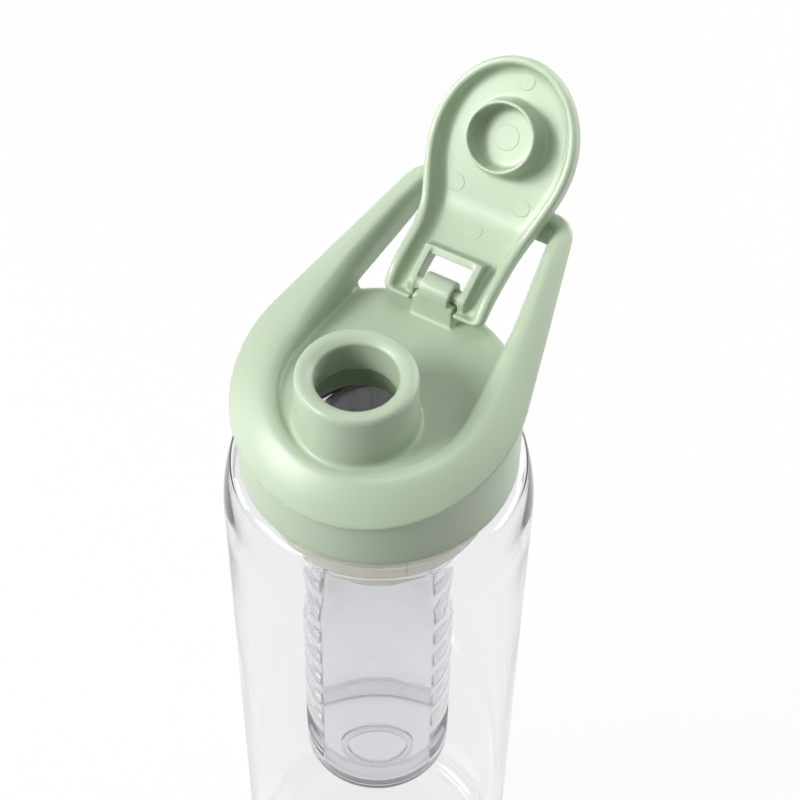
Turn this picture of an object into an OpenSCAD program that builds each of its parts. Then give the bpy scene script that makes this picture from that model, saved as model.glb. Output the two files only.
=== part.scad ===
// Fruit infuser water bottle: a clear body, a screw lid with a spout, a carrying
// loop and a hinged flip cap, and an infuser tube that hangs from a collar in
// the neck. The origin is the centre of the base, +Z is up and +Y points to the
// back, where the hinge and the loop are. The cap is drawn open, as it rests.

/* [Bottle] */
// Outer diameter of the body
body_d = 73; // [71:0.5:80]
// Height of the shoulder that the lid comes down to
shoulder_h = 199.6; // [185:0.1:230]
// Thickness of the body's wall
wall_t = 1.8; // [1.5:0.1:2.4]
// Outer diameter of the neck
neck_d = 56.8; // [55:0.1:58]
// Height of the neck above the shoulder
neck_h = 13.4; // [13:0.1:15]
// Thickness of the neck's wall
neck_t = 2.8; // [2:0.1:3.2]

/* [Lid] */
// Thickness of the lid's skirt
skirt_t = 2.3; // [1.8:0.1:3]
// Height of the lid's flat top above the skirt's lower edge
lid_h = 22; // [21.6:0.1:24]
// Outer diameter of the drinking spout
spout_d = 27; // [25:0.5:28]
// Diameter of the spout's bore
bore_d = 18.5; // [16:0.1:20]
// Height of the spout above the lid's top
spout_h = 15.6; // [14:0.1:16]

/* [Carrying loop] */
// Distance from the bottle's axis to the loop's back edge
loop_reach = 54.7; // [52:0.1:58]
// Slope of the plane that the loop's outer edge lies on, in degrees
loop_tilt = 14.23; // [12:0.01:16]
// Thickness of the bar across the loop's back
bar_t = 4.6; // [4:0.1:5.4]

/* [Flip cap] */
// Half of the cap's width across its head
head_w = 17.5; // [17:0.1:19]
// Half of the cap's width across its neck
neck_w = 12.8; // [12.4:0.1:13.2]
// Thickness of the cap's side walls
cap_wall = 2; // [1.6:0.1:2.2]
// Thickness of the cap's back
cap_floor = 2.1; // [1.6:0.1:2.3]
// Length of the plug that closes the spout
plug_h = 5.5; // [5:0.1:6.5]

/* [Infuser] */
// Height of the infuser's lower end above the bottle's base
infuser_z = 75; // [40:1:100]
// Outer diameter of the infuser tube
tube_d = 38.5; // [36:0.1:39]
// Thickness of the infuser tube's wall
tube_t = 1.6; // [1.4:0.1:2]
// Distance between the drain slots
slot_pitch = 9.9; // [7:0.1:12]
// Height of one drain slot
slot_h = 3.2; // [2:0.1:4]

/* [Hidden] */
$fn = 96;

// One overrun serves every cut, and one sink every joint between merged shapes
over = 1;
sink = 0.4;

// Body: foot ring, raised base, eased shoulder
body_r = body_d / 2;
foot_r = 5.5;
base_t = 3.5;
punt_r = 26;
punt_h = 3;
ease_h = 14.6;
ease_in = 2;
ease_turn = 18;
shoulder_r = 3.2;
neck_r = neck_d / 2;
neck_in_r = neck_r - neck_t;
mouth_z = shoulder_h + neck_h;
arc_steps = 8;

// Screw thread between neck and lid
thread_pitch = 4;
thread_turns = 1.5;
thread_depth = 1.3;
thread_gap = 0.35;
thread_root = 1.8;
thread_crest = 0.8;
thread_start = 4.4;
thread_steps = 36;
thread_runout = 3;

// Lid shell
skirt_gap = 0.4;
skirt_z = shoulder_h + skirt_gap;
skirt_in_r = neck_r + thread_depth + thread_gap;
skirt_r = skirt_in_r + skirt_t;
disc_z = skirt_z + lid_h;
disc_t = 2.2;
disc_round = 3.9;
lip_round = 1.5;
lip_fall = 0.9;
lip_in = 0.6;
foot_round = 1.6;
core_gap = 2.3;
core_h = 6;

// Seals and collar flange, stacked on the mouth
collar_seal_t = 0.9;
flange_t = 1.2;
lid_seal_t = 1.4;
flange_z = mouth_z + collar_seal_t;
seal_z = flange_z + flange_t;
seat_z = seal_z + lid_seal_t;
seat_drop = 1.2;
seal_lip = 0.8;
seal_fit = 0.2;

// Carrying band: a sloped collar round the lid that runs out into the loop
band_over = 1.25;
band_r = skirt_r + band_over;
edge_rise = 23.14;
corner_r = 6.5;
corner_x = 15.3;
corner_y = loop_reach - corner_r;
side_y = 5;
root_y = 27;
leg_y = 41;
front_w = 10.9;
side_w = 12;
root_w = 8.2;
leg_w = 6.7;
end_w = 5.8;
side_crest = 3.4;
root_crest = 3;
leg_crest = 2.6;
end_crest = 1.8;
bar_crest = 0.4;
front_proud = 0.25;
side_inner = 2.4;
leg_inner = -0.7;
leg_h = 6.9;
bar_h = 6;
edge_h = 1;
under_in = 1.8;
web_in = 0.4;
disc_in = 1;
crest_share = 0.66;
edge_share = 0.6;
slope_share = 0.3;
slope_rise_share = 0.53;
shoulder_share = 0.84;
shoulder_rise_share = 0.7;
front_steps = 14;
leg_steps = 8;
corner_steps = 6;

// Hinge: a block on the lid whose barrel takes the cap's two trunnions
hinge_y = 26.8;
hinge_rise = 6.8;
hinge_z = disc_z + hinge_rise;
barrel_r = 3.4;
barrel_w = 7.6;
block_w = 10.2;
block_front = 3.4;
block_drop = 0.9;
pin_r = 1.5;
pin_fit = 0.05;
pin_in = 2.6;

// Cap, measured from the hinge: s runs to the tip and n out of the cap's back
spout_y = -9.8;
plug_s = hinge_y - spout_y;
cap_end = 4.3;
end_round = 2;
end_wall = 1.2;
neck_s = 9;
head_back = 2.6;
head_s = plug_s - head_back;
head_l = 21;
neck_wall = 2.4;
rim_s = 20;
rim_from = -1;
rim_low = -1.9;
rim_high = 6.3;
back_s = 20;
back_low = 2.6;
back_high = 13.2;
back_fall = 2.86;
notch_w = 11.2;
notch_s = 6.9;
notch_wall = 1.8;
notch_lip = 1.8;
end_lip = 0.9;
knuckle_r = 1.9;
lean_gap = 0.3;
blend_steps = 10;

// Plug ring, tapered so that its near edge clears the bore as the cap swings
plug_gap = 0.25;
plug_taper = 0.65;
plug_t = 2;
plug_tip_t = 1;
plug_rise = 0.3;
plug_foot = 0.3;

// Infuser collar: flange on the mouth, ledge and hooks for the tube, and two
// ribs that keep the tube in the middle
collar_gap = 1;
collar_r = neck_in_r - collar_gap;
collar_t = 1.6;
collar_h = 20;
collar_z = skirt_z - collar_h;
collar_in_r = collar_r - collar_t;
collar_over = 3;
floor_t = 1.6;
tube_gap = 0.35;
ledge_rise = 0.8;
ledge_z = skirt_z + ledge_rise;
ledge_t = 1.6;
ledge_w = 1.8;
hook_gap = 0.3;
hook_t = 1.5;
hook_w = 1.4;
hook_turn = 10;
notch_turn = 14;
lock_at = 12.4;
lock_turn = 60;
rib_w = 1.6;
rib_turn = 123;

// Infuser tube and its end cap
tube_turn = 28.9;
tube_r = tube_d / 2;
tube_in_r = tube_r - tube_t;
rim_t = 1.6;
rim_z = ledge_z + rim_t;
rim_gap = 0.3;
slot_turn = 84;
slot_top = 6.8;
slot_foot = 13;
plate_t = 2.2;
spigot_fit = 0.3;
spigot_h = 8.8;
spigot_t = 1.5;
lug_out = 0.8;
lug_t = 2.6;
lug_z = 2.8;
lug_turn = 24;
groove_gap = 0.4;
boss_r = 8;
boss_t = 1.5;
boss_h = 2.2;

// Smooth step from a to b as t goes from 0 to 1
function blend(a, b, t) = a + (b - a) * (1 - cos(180 * max(0, min(1, t)))) / 2;

// Points of an arc about a centre, from one angle to another
function arc(c, r, from, to, steps) =
    [for (i = [0:steps]) c + r * [cos(from + (to - from) * i / steps),
                                  sin(from + (to - from) * i / steps)]];

// Height of the tilted plane of the band's outer edge, at a place y
function edge_z(y) = skirt_z + edge_rise + y * tan(loop_tilt);

// Closed skin over rings of equal length, the last ring joined to the first
function loop_faces(rings, points) =
    [for (i = [0:rings - 1], j = [0:points - 1], half = [0, 1])
        let (k = (i + 1) % rings, m = (j + 1) % points)
        half == 0 ? [i * points + j, k * points + m, k * points + j]
                  : [i * points + j, i * points + m, k * points + m]];

// Skin over rings of equal length, with its two ends closed
function tube_faces(rings, points) = concat(
    [for (i = [0:rings - 2], j = [0:points - 1], half = [0, 1])
        let (m = (j + 1) % points, a = i * points, b = a + points)
        half == 0 ? [a + j, b + m, b + j] : [a + j, a + m, b + m]],
    [for (j = [1:points - 2]) [0, j + 1, j]],
    [for (j = [1:points - 2]) let (e = (rings - 1) * points) [e, e + j, e + j + 1]]);

// One helical thread: root radius, direction of its depth (1 out, -1 in), height
module thread(root_r, way, z) {
    last = thread_turns * thread_steps;
    rings = [for (i = [0:last])
        let (rise = z + thread_pitch * i / thread_steps,
             full = min(1, min(i, last - i) / thread_runout),
             top_r = root_r + way * thread_depth * max(full, sink / thread_depth),
             base_r = root_r - way * sink)
        [[base_r, rise - thread_root / 2], [top_r, rise - thread_crest / 2],
         [top_r, rise + thread_crest / 2], [base_r, rise + thread_root / 2]]];
    points = [for (i = [0:last], p = rings[i])
        let (turn = 360 * i / thread_steps) [p[0] * cos(turn), p[0] * sin(turn), p[1]]];
    faces = tube_faces(last + 1, 4);
    polyhedron(points, way > 0 ? faces : [for (f = faces) [f[2], f[1], f[0]]], convexity = 4);
}

// Body: solid of revolution with a raised base, and the neck's thread
module bottle_body() {
    top_r = body_r - ease_in;
    arc_z = shoulder_h - shoulder_r;
    arc_x = top_r - shoulder_r * cos(ease_turn);
    ease_z = arc_z + shoulder_r * sin(ease_turn);
    in_round = foot_r - wall_t / 2;
    in_r = body_r - wall_t;
    in_top = shoulder_h - wall_t;
    outer = concat(
        [for (i = [0:arc_steps]) let (r = punt_r * i / arc_steps)
            [r, punt_h * (1 - pow(r / punt_r, 2))]],
        arc([body_r - foot_r, foot_r], foot_r, -90, 0, arc_steps),
        [for (i = [0:arc_steps]) let (t = i / arc_steps)
            [body_r - ease_in * t * t, ease_z - ease_h * (1 - t)]],
        arc([arc_x, arc_z], shoulder_r, ease_turn, 90, arc_steps),
        [[neck_r, shoulder_h], [neck_r, mouth_z - neck_t / 4],
         [neck_r - neck_t / 4, mouth_z]]);
    inner = concat(
        [[neck_in_r + neck_t / 4, mouth_z], [neck_in_r, mouth_z - neck_t / 4],
         [neck_in_r, in_top]],
        arc([arc_x, arc_z], shoulder_r - wall_t, 90, ease_turn, arc_steps),
        [for (i = [1:arc_steps]) let (t = 1 - i / arc_steps)
            [body_r - ease_in * t * t - wall_t * cos(ease_turn * t),
             ease_z - ease_h * (1 - t) - wall_t * sin(ease_turn * t)]],
        arc([in_r - in_round, base_t + in_round], in_round, 0, -90, arc_steps),
        [for (i = [0:arc_steps]) let (r = punt_r * (1 - i / arc_steps))
            [r, base_t + punt_h * (1 - pow(r / punt_r, 2))]]);
    color("gainsboro", 0.4) {
        rotate_extrude() polygon(concat(outer, inner));
        thread(neck_r, 1, skirt_z + thread_start);
    }
}

// Right half of the band's outer edge in plan, front to back: [point, normal]
tangent_turn = atan2(corner_y, corner_x)
    - acos((band_r - corner_r) / norm([corner_x, corner_y]));
tangent_a = band_r * [cos(tangent_turn), sin(tangent_turn)];
tangent_b = [corner_x, corner_y] + corner_r * [cos(tangent_turn), sin(tangent_turn)];
half_edge = concat(
    [for (i = [0:front_steps]) let (a = -90 + (tangent_turn + 90) * i / front_steps)
        [band_r * [cos(a), sin(a)], [cos(a), sin(a)]]],
    [for (i = [1:leg_steps]) [tangent_a + (tangent_b - tangent_a) * i / leg_steps,
                              [cos(tangent_turn), sin(tangent_turn)]]],
    [for (i = [1:corner_steps])
        let (a = tangent_turn + (90 - tangent_turn) * i / corner_steps)
        [[corner_x, corner_y] + corner_r * [cos(a), sin(a)], [cos(a), sin(a)]]],
    [[[0, loop_reach], [0, 1]]]);
half_count = len(half_edge);
edge = concat(half_edge,
    [for (i = [half_count - 2:-1:1]) let (e = half_edge[i])
        [[-e[0][0], e[0][1]], [-e[1][0], e[1][1]]]]);

// How the band's section changes from the front to the bar, by the edge's y
function along(y, values) = lookup(y, [[-band_r, values[0]], [side_y, values[1]],
    [root_y, values[2]], [leg_y, values[3]], [corner_y, values[4]], [loop_reach, values[5]]]);
function band_w(y) = along(y, [front_w, side_w, root_w, leg_w, end_w, bar_t]);
front_top = disc_z + front_proud;
front_crest = front_top - edge_z(-band_r + front_w * crest_share);
front_inner = front_top - edge_z(-band_r + front_w);
function crest_h(y) =
    along(y, [front_crest, side_crest, root_crest, leg_crest, end_crest, bar_crest]);
function inner_h(y) = along(y, [front_inner, side_inner, 0, leg_inner, leg_inner, 0]);
function under_h(y) = along(y, [-edge_h, -edge_h, -leg_h, -leg_h, -leg_h, -bar_h]);
function floor_z(y, own_y) =
    let (t = max(0, min(1, (y - side_y) / (root_y - side_y))))
    (1 - t) * (disc_z - disc_t - sink)
        + t * (edge_z(own_y) - along(y, [leg_h, leg_h, leg_h, leg_h, leg_h, bar_h]));

// One ring of the band: [distance in from the edge, height over the plane]
function band_ring(e) =
    let (y = e[0][1], w = band_w(y), top = crest_h(y), inn = inner_h(y), low = under_h(y),
         own = y - e[1][1] * w,
         section = [[under_in, low], [0, -edge_h * edge_share], [0, 0],
                    [w * slope_share, top * slope_rise_share], [w * crest_share, top],
                    [w * shoulder_share, inn + (top - inn) * shoulder_rise_share],
                    [w, inn], [w, floor_z(y, own) - edge_z(own)]])
    [for (p = section) let (xy = e[0] - e[1] * p[0]) [xy[0], xy[1], edge_z(xy[1]) + p[1]]];

module band() {
    rings = [for (e = edge) band_ring(e)];
    polyhedron([for (r = rings, p = r) p], loop_faces(len(edge), len(rings[0])), convexity = 6);
}

// Space inside the band's inner wall, widened by a given length. Its corners lie
// between the band's rings.
module inside(extra, from, to) {
    wall = [for (e = edge) e[0] - e[1] * (band_w(e[0][1]) - extra)];
    count = len(wall);
    translate([0, 0, from]) linear_extrude(to - from)
        polygon([for (i = [0:count - 1]) (wall[i] + wall[(i + 1) % count]) / 2]);
}

// Everything over the band's plane, lowered by a given length
module over_plane(drop) {
    reach = 4 * body_d;
    translate([0, 0, skirt_z + edge_rise - drop]) rotate([loop_tilt, 0, 0])
        translate([-reach / 2, -reach / 2, 0]) cube([reach, reach, reach]);
}

// Spout: its lip falls inwards to the bore's edge
module spout() {
    spout_r = spout_d / 2;
    bore_r = bore_d / 2;
    top = disc_z + spout_h;
    lip_z = top - lip_fall - lip_in;
    translate([0, spout_y, 0]) rotate_extrude() polygon(concat(
        [[bore_r, disc_z - disc_t / 2], [spout_r + foot_round, disc_z - disc_t / 2]],
        arc([spout_r + foot_round, disc_z + foot_round], foot_round, 270, 180, arc_steps),
        arc([spout_r - lip_round, top - lip_round], lip_round, 0, 90, arc_steps),
        arc([bore_r + lip_in, lip_z], lip_in, 90, 180, arc_steps / 2)));
}

// Bore of the spout, wider below so that the spout's wall stays even
module spout_bore() {
    core_r = spout_d / 2 - core_gap;
    translate([0, spout_y, disc_z - disc_t - over]) {
        cylinder(r = core_r, h = disc_t + over + core_h);
        cylinder(d = bore_d, h = disc_t + over + spout_h / 2);
    }
}

module hinge_block() {
    low = disc_z - disc_t;
    front_y = hinge_y - block_front;
    translate([-block_w / 2, front_y, low])
        cube([block_w, 2 * block_front, hinge_z - block_drop - low]);
    translate([-barrel_w / 2, front_y, low])
        cube([barrel_w, 2 * block_front, hinge_z - low]);
    translate([-barrel_w / 2, hinge_y, hinge_z]) rotate([0, 90, 0])
        cylinder(r = barrel_r, h = barrel_w);
}

// Hollow of the lid: thread space, seat of the seal, thin top over the mouth
module lid_hollow() {
    step_z = seat_z - seat_drop;
    seat_r = skirt_in_r - skirt_t / 2;
    well_r = collar_in_r + seal_lip;
    rotate_extrude() polygon([[0, skirt_z - over], [skirt_in_r, skirt_z - over],
        [skirt_in_r, step_z], [seat_r, step_z], [seat_r, seat_z],
        [well_r, seat_z], [well_r, disc_z - disc_t], [0, disc_z - disc_t]]);
}

module lid_body() {
    top = edge_z(loop_reach);
    color("darkseagreen") {
        difference() {
            union() {
                difference() {
                    translate([0, 0, skirt_z]) cylinder(r = skirt_r, h = top - skirt_z);
                    over_plane(edge_h / 2);
                    inside(web_in, skirt_z + lid_h / 2, top + over);
                }
                intersection() {
                    rotate_extrude() polygon(concat(
                        [[0, skirt_z], [skirt_r, skirt_z]],
                        arc([skirt_r - disc_round, disc_z - disc_round], disc_round,
                            0, 90, arc_steps),
                        [[0, disc_z]]));
                    inside(disc_in, skirt_z, disc_z + over);
                }
                band();
                spout();
                hinge_block();
            }
            lid_hollow();
            spout_bore();
            translate([-block_w / 2 - over, hinge_y, hinge_z]) rotate([0, 90, 0])
                cylinder(r = pin_r + pin_fit, h = block_w + 2 * over);
        }
        thread(skirt_in_r, -1, skirt_z + thread_start - thread_pitch / 2);
    }
}

// Cap outline, inset by a wall at the head and at the neck, from a place s on
function cap_outline(inset, neck_inset, from, round_r) =
    let (w = neck_w - neck_inset,
         right = concat(
             arc([w - round_r, from + round_r], round_r, -90, 0, arc_steps),
             [for (i = [0:blend_steps]) let (t = i / blend_steps)
                 [blend(w, head_w - inset, t), neck_s + (head_s - neck_s) * t]]),
         count = len(right))
    concat(right,
        [for (i = [1:2 * arc_steps]) let (a = 90 * i / arc_steps)
            [(head_w - inset) * cos(a), head_s + (head_l - inset) * sin(a)]],
        [for (i = [count - 2:-1:0]) [-right[i][0], right[i][1]]]);

// Heights of the cap's rim and of its back, along s
function rim_n(s) = blend(rim_low, rim_high, (s - rim_from) / rim_s);
function back_n(s) = blend(back_low, back_high, (s + cap_end) / (back_s + cap_end))
    - max(0, tan(back_fall) * (s - back_s));

// Slab across the cap whose side outline lies between two heights
module cap_slab(low, high) {
    far = head_s + head_l + over;
    steps = 3 * blend_steps;
    places = [for (i = [0:steps]) -cap_end - over + (far + cap_end + over) * i / steps];
    lows = [for (s = places) [s, is_num(low) ? low : rim_n(s)]];
    highs = [for (i = [steps:-1:0]) [places[i], back_n(places[i]) - high]];
    rotate([90, 0, 90]) linear_extrude(2 * head_w + 2 * over, center = true)
        polygon(concat(lows, highs));
}

module plug() {
    base_r = bore_d / 2 - plug_gap;
    tip_r = base_r - plug_taper;
    ceiling = back_n(plug_s) - cap_floor;
    floor_n = spout_h - hinge_rise + plug_rise;
    tip_n = floor_n - plug_h;
    translate([0, plug_s, 0]) rotate_extrude() polygon([[0, floor_n],
        [base_r - plug_t, floor_n], [tip_r - plug_tip_t, tip_n], [tip_r, tip_n],
        [base_r, floor_n], [base_r + plug_foot, ceiling], [base_r + plug_foot, ceiling + sink],
        [0, ceiling + sink]]);
}

module flip_cap_closed() {
    notch_top = notch_s + notch_wall;
    frame_w = notch_w + 2 * notch_wall;
    difference() {
        union() {
            difference() {
                intersection() {
                    translate([0, 0, rim_low - over]) linear_extrude(back_high - rim_low + 2 * over)
                        polygon(cap_outline(0, 0, -cap_end, end_round));
                    cap_slab(false, 0);
                }
                intersection() {
                    translate([0, 0, rim_low - over]) linear_extrude(back_high - rim_low)
                        polygon(cap_outline(cap_wall, neck_wall, -cap_end + end_wall, end_wall / 2));
                    cap_slab(rim_low - over, cap_floor);
                }
            }
            // Frame of the notch, whose lip runs down to a knuckle round each trunnion
            intersection() {
                rotate([90, 0, 90]) linear_extrude(frame_w, center = true)
                    polygon([[-cap_end, end_lip], [0, -knuckle_r], [notch_top, notch_lip],
                        [notch_top, back_high], [-cap_end, back_high]]);
                cap_slab(rim_low - over, sink);
            }
            translate([-frame_w / 2, 0, 0]) rotate([0, 90, 0])
                cylinder(r = knuckle_r, h = frame_w);
            plug();
        }
        translate([-notch_w / 2, -cap_end - over, rim_low - knuckle_r])
            cube([notch_w, notch_s + cap_end + over, back_high + knuckle_r + over - rim_low]);
    }
    // Each trunnion runs from the notch wall's outer side into the barrel
    pin_length = (notch_w - barrel_w) / 2 + notch_wall + pin_in;
    for (side = [-1, 1])
        translate([side * (frame_w - pin_length) / 2, 0, 0]) rotate([0, 90, 0])
            cylinder(r = pin_r, h = pin_length, center = true);
}

// Open angle: the cap's back leans on the loop's bar, a small gap away
bar_edge = [loop_reach - bar_t - hinge_y, edge_z(loop_reach - bar_t) - hinge_z];
open_turn = 180 - atan2(bar_edge[1], bar_edge[0])
    - asin((back_high + lean_gap) / norm(bar_edge));

module flip_cap() {
    color("darkseagreen") translate([0, hinge_y, hinge_z]) rotate([-open_turn, 0, 0])
        rotate([0, 0, 180]) flip_cap_closed();
}

// Flat ring between two radii
module ring(in_r, out_r, z, h) {
    translate([0, 0, z]) difference() {
        cylinder(r = out_r, h = h);
        translate([0, 0, -over]) cylinder(r = in_r, h = h + 2 * over);
    }
}

// Part of a flat ring, centred on a direction
module ring_part(in_r, out_r, z, h, turn, span) {
    rotate([0, 0, turn - span / 2]) rotate_extrude(angle = span)
        translate([in_r, z]) square([out_r - in_r, h]);
}

module lid_seal() {
    color("whitesmoke") ring(collar_in_r + seal_lip + seal_fit,
        skirt_in_r - skirt_t / 2 - seal_fit, seal_z, lid_seal_t);
}

module collar_seal() {
    color("whitesmoke") ring(collar_r + seal_fit, collar_r + collar_over, mouth_z, collar_seal_t);
}

module infuser_collar() {
    shelf_r = tube_r + tube_gap;
    color("antiquewhite") {
        rotate_extrude() polygon([[shelf_r, collar_z], [collar_r, collar_z],
            [collar_r, flange_z], [collar_r + collar_over, flange_z],
            [collar_r + collar_over, seal_z], [collar_in_r, seal_z],
            [collar_in_r, ledge_z], [collar_in_r - ledge_w, ledge_z],
            [collar_in_r - ledge_w, ledge_z - ledge_t], [collar_in_r, ledge_z - ledge_t],
            [collar_in_r, collar_z + floor_t], [shelf_r, collar_z + floor_t]]);
        for (side = [0, 180]) {
            ring_part(collar_in_r - hook_w, collar_in_r + sink, rim_z + hook_gap, hook_t,
                lock_at + side, hook_turn);
            rotate([0, 0, rib_turn + side]) translate([shelf_r, -rib_w / 2, collar_z + floor_t - sink])
                cube([collar_in_r - shelf_r + sink, rib_w,
                      ledge_z - ledge_t - collar_z - floor_t + 2 * sink]);
        }
    }
}

module infuser_tube() {
    low = infuser_z + plate_t;
    spigot_r = tube_in_r - spigot_fit;
    groove_r = spigot_r + lug_out + groove_gap;
    rim_r = collar_in_r - rim_gap;
    top = collar_z - slot_top;
    count = floor((top - low - slot_foot) / slot_pitch);
    color("lavender", 0.5) difference() {
        rotate_extrude() polygon([[tube_in_r, low], [tube_r, low], [tube_r, ledge_z],
            [rim_r, ledge_z], [rim_r, rim_z], [tube_in_r, rim_z]]);
        ring(tube_in_r - over, groove_r, low + lug_z - groove_gap, lug_t + 2 * groove_gap);
        for (i = [0:count], side = [0, 180])
            ring_part(tube_in_r - over, tube_r + over, top - slot_h - i * slot_pitch, slot_h,
                tube_turn + side, slot_turn);
        for (side = [0, 180])
            ring_part(collar_in_r - hook_w - rim_gap, rim_r + over, ledge_z - over,
                rim_t + 2 * over, lock_at + side - lock_turn, notch_turn);
    }
}

module infuser_end_cap() {
    spigot_r = tube_in_r - spigot_fit;
    low = infuser_z + plate_t;
    color("lavender", 0.5) {
        rotate_extrude() polygon([[0, infuser_z], [tube_r, infuser_z], [tube_r, low],
            [spigot_r, low], [spigot_r, low + spigot_h], [spigot_r - spigot_t, low + spigot_h],
            [spigot_r - spigot_t, low], [0, low]]);
        ring(boss_r - boss_t, boss_r, infuser_z - boss_h, boss_h + sink);
        for (side = [0, 180])
            ring_part(spigot_r - sink, spigot_r + lug_out, low + lug_z, lug_t,
                tube_turn + side, lug_turn);
    }
}

bottle_body();
lid_body();
flip_cap();
lid_seal();
infuser_collar();
collar_seal();
infuser_tube();
infuser_end_cap();
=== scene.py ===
from math import acos, atan2, cos, degrees, hypot, pi, radians, sin, tan

import bmesh
import bpy
from mathutils import Matrix, Vector


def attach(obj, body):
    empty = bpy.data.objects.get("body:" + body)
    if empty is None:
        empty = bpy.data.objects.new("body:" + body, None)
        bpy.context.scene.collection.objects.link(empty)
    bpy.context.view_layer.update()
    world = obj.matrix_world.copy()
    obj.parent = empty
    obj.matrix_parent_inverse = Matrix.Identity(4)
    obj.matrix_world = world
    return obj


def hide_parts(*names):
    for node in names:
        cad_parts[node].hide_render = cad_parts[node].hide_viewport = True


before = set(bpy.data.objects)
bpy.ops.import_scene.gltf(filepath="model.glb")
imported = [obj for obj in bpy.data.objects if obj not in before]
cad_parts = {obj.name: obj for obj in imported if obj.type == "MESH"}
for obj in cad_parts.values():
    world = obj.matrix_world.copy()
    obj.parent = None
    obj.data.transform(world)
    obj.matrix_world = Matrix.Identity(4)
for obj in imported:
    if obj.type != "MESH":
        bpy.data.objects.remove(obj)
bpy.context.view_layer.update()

# Camera: looks down at the lid from the front right, as the photograph does, with
# a long lens and almost no roll.
camera_turn = radians(28.9)
camera_tilt = radians(51.05)
camera_roll = radians(1.03)
camera_place = Vector((0.1419, -0.2475, 0.5712))
camera_data = bpy.data.cameras.new("camera")
camera_data.lens = 91.8
camera_data.sensor_width = 36.0
camera_data.clip_start = 0.01
camera = bpy.data.objects.new("camera", camera_data)
camera.matrix_world = (Matrix.Translation(camera_place)
                       @ Matrix.Rotation(camera_turn, 4, "Z")
                       @ Matrix.Rotation(pi / 2 - camera_tilt, 4, "X")
                       @ Matrix.Rotation(camera_roll, 4, "Z"))
bpy.context.scene.collection.objects.link(camera)
bpy.context.scene.camera = camera
bpy.context.scene.view_settings.view_transform = "Standard"


# Floor and world: a pale floor that reads white where it is seen directly, by
# reflection or through the clear walls, and still takes the object's shadow.
def seen_directly(tree, through=1.0):
    """1 where a camera or glossy ray looks and a share for rays that came through plastic."""
    path = tree.nodes.new("ShaderNodeLightPath")
    first = tree.nodes.new("ShaderNodeMath")
    first.operation = "MAXIMUM"
    tree.links.new(path.outputs["Is Camera Ray"], first.inputs[0])
    tree.links.new(path.outputs["Is Glossy Ray"], first.inputs[1])
    both = tree.nodes.new("ShaderNodeMath")
    both.operation = "MAXIMUM"
    dimmed = tree.nodes.new("ShaderNodeMath")
    dimmed.operation = "MULTIPLY"
    dimmed.inputs[1].default_value = through
    tree.links.new(path.outputs["Is Transmission Ray"], dimmed.inputs[0])
    tree.links.new(first.outputs[0], both.inputs[0])
    tree.links.new(dimmed.outputs[0], both.inputs[1])
    return both.outputs[0]


def set_world(fill, strength):
    """World that is white where it is seen and a weak fill light everywhere else."""
    world = bpy.data.worlds.new("studio")
    bpy.context.scene.world = world
    world.use_nodes = True
    tree = world.node_tree
    tree.nodes.clear()
    lit = tree.nodes.new("ShaderNodeBackground")
    lit.inputs["Color"].default_value = (*fill, 1)
    lit.inputs["Strength"].default_value = strength
    white = tree.nodes.new("ShaderNodeBackground")
    white.inputs["Color"].default_value = (1, 1, 1, 1)
    white.inputs["Strength"].default_value = 1.0
    mix = tree.nodes.new("ShaderNodeMixShader")
    tree.links.new(seen_directly(tree), mix.inputs[0])
    tree.links.new(lit.outputs[0], mix.inputs[1])
    tree.links.new(white.outputs[0], mix.inputs[2])
    out = tree.nodes.new("ShaderNodeOutputWorld")
    tree.links.new(mix.outputs[0], out.inputs["Surface"])


def link_object(name, data, material=None):
    """A new object in the scene, with its material if it has one."""
    made = bpy.data.objects.new(name, data)
    bpy.context.scene.collection.objects.link(made)
    if material:
        made.data.materials.append(material)
    return made


def make_floor(half, white_share, through):
    """Square floor, a mix of plain dull paint and the white that is seen directly."""
    mesh = bpy.data.meshes.new("floor")
    bm = bmesh.new()
    bmesh.ops.create_grid(bm, x_segments=1, y_segments=1, size=half)
    bm.to_mesh(mesh)
    bm.free()
    paint = bpy.data.materials.new("floor_paint")
    paint.use_nodes = True
    tree = paint.node_tree
    tree.nodes.clear()
    dull = tree.nodes.new("ShaderNodeBsdfDiffuse")
    dull.inputs["Color"].default_value = (0.75, 0.75, 0.75, 1)
    glow = tree.nodes.new("ShaderNodeEmission")
    glow.inputs["Color"].default_value = (1, 1, 1, 1)
    glow.inputs["Strength"].default_value = 1.0
    share = tree.nodes.new("ShaderNodeMath")
    share.operation = "MULTIPLY"
    share.inputs[1].default_value = white_share
    tree.links.new(seen_directly(tree, through), share.inputs[0])
    mix = tree.nodes.new("ShaderNodeMixShader")
    tree.links.new(share.outputs[0], mix.inputs[0])
    tree.links.new(dull.outputs[0], mix.inputs[1])
    tree.links.new(glow.outputs[0], mix.inputs[2])
    out = tree.nodes.new("ShaderNodeOutputMaterial")
    tree.links.new(mix.outputs[0], out.inputs["Surface"])
    link_object("floor", mesh, paint)


set_world(fill=(0.93, 0.96, 1.0), strength=0.15)
make_floor(half=4.0, white_share=0.94, through=0.92)


# Lamps: a large soft box from the upper left, weaker ones from above, from behind and
# from the right, a low strip on the left, and a narrow beam on the inside of the cap.
def soft_box(name, place, aim, width, height, power, spread=180):
    """Rectangular area lamp at a place, turned to face its aim. Its spread is in degrees."""
    lamp = bpy.data.lights.new(name, "AREA")
    lamp.shape = "RECTANGLE"
    lamp.size = width
    lamp.size_y = height
    lamp.energy = power
    lamp.spread = radians(spread)
    made = link_object(name, lamp)
    direction = Vector(aim) - Vector(place)
    made.matrix_world = (Matrix.Translation(place)
                         @ direction.to_track_quat("-Z", "Y").to_matrix().to_4x4())


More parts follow.
